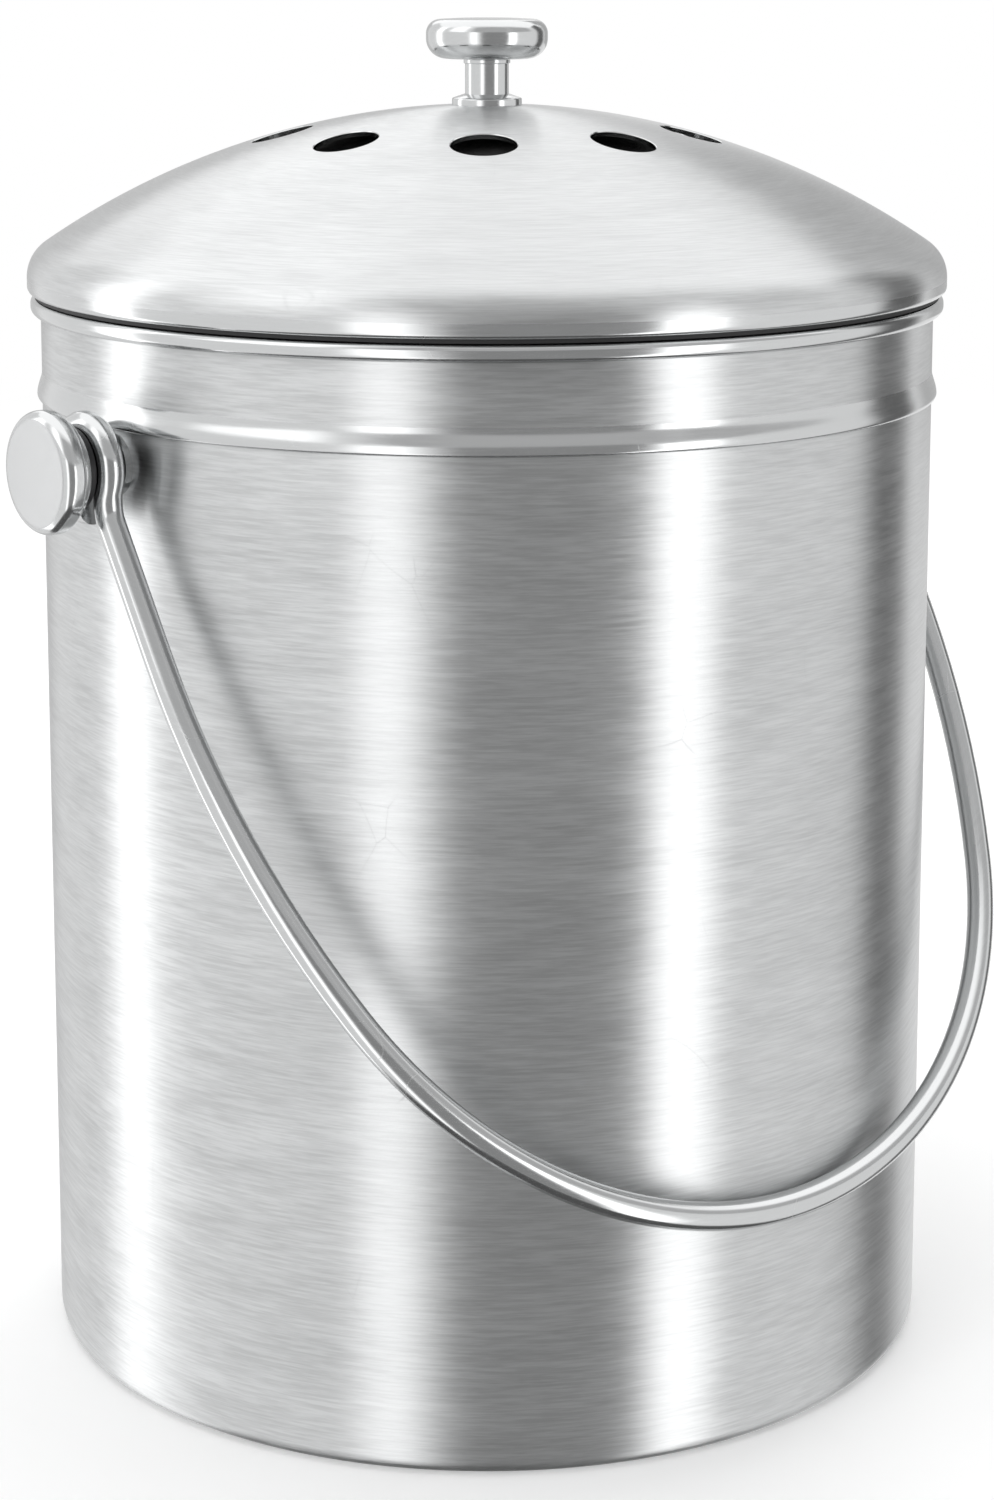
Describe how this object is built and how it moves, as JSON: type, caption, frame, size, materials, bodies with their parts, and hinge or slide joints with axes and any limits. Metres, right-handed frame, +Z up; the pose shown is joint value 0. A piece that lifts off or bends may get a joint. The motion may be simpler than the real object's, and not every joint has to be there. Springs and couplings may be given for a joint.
{
  "type": "compost caddy",
  "caption": "Round steel countertop compost pail with a swinging wire bail and a lift-off domed vent lid that holds a pull-out filter.",
  "frame": {"origin": "centre of the flat base, on the pail's axis", "axes": "+Z up along the pail's axis, X along the bail's pivots, the bail rests on the -Y side"},
  "size_m": [0.2148, 0.1883, 0.2671],
  "materials": {
    "brushed_body": "stainless steel, brushed around the pail's axis",
    "brushed_lid": "stainless steel, brushed dome with polished shoulder",
    "polished_steel": "polished stainless steel",
    "bail_steel": "polished wire",
    "plain_steel": "plain mill finish",
    "black_plastic": "satin moulded plastic",
    "seal_rubber": "soft black seal",
    "filter_foam": "open-cell grey foam",
    "filter_carbon": "black carbon-filled fibre pad"
  },
  "bodies": {
    "pail": {"pail_body": "brushed_body", "left_pivot_post": "polished_steel", "right_pivot_post": "polished_steel", "left_eye_bush": "black_plastic", "right_eye_bush": "black_plastic", "left_pivot_cap": "polished_steel", "right_pivot_cap": "polished_steel", "left_pivot_screw": "plain_steel", "right_pivot_screw": "plain_steel", "left_backing_washer": "plain_steel", "right_backing_washer": "plain_steel"},
    "bail": {"bail_wire": "bail_steel"},
    "lid": {"lid_dome": "brushed_lid", "lid_inner_ring": "plain_steel", "lid_seal": "seal_rubber", "knob_cap": "polished_steel", "knob_stem": "polished_steel", "knob_collar": "polished_steel", "knob_screw": "plain_steel", "knob_washer": "plain_steel"},
    "filter_holder": {"filter_tray": "black_plastic", "foam_filter": "filter_foam", "carbon_filter": "filter_carbon"}
  },
  "joints": [
    {"name": "bail_swing", "type": "hinge", "parent": "pail", "child": "bail", "pos_m": [0, 0, 0.1855], "axis": [-1, 0, 0], "range_deg": [0, 292]},
    {"name": "lid_lift", "type": "slide", "parent": "pail", "child": "lid", "axis": [0, 0, 1], "range_m": [0, 0.12]},
    {"name": "filter_pull", "type": "slide", "parent": "lid", "child": "filter_holder", "axis": [0, 0, -1], "range_m": [0, 0.035]}
  ]
}
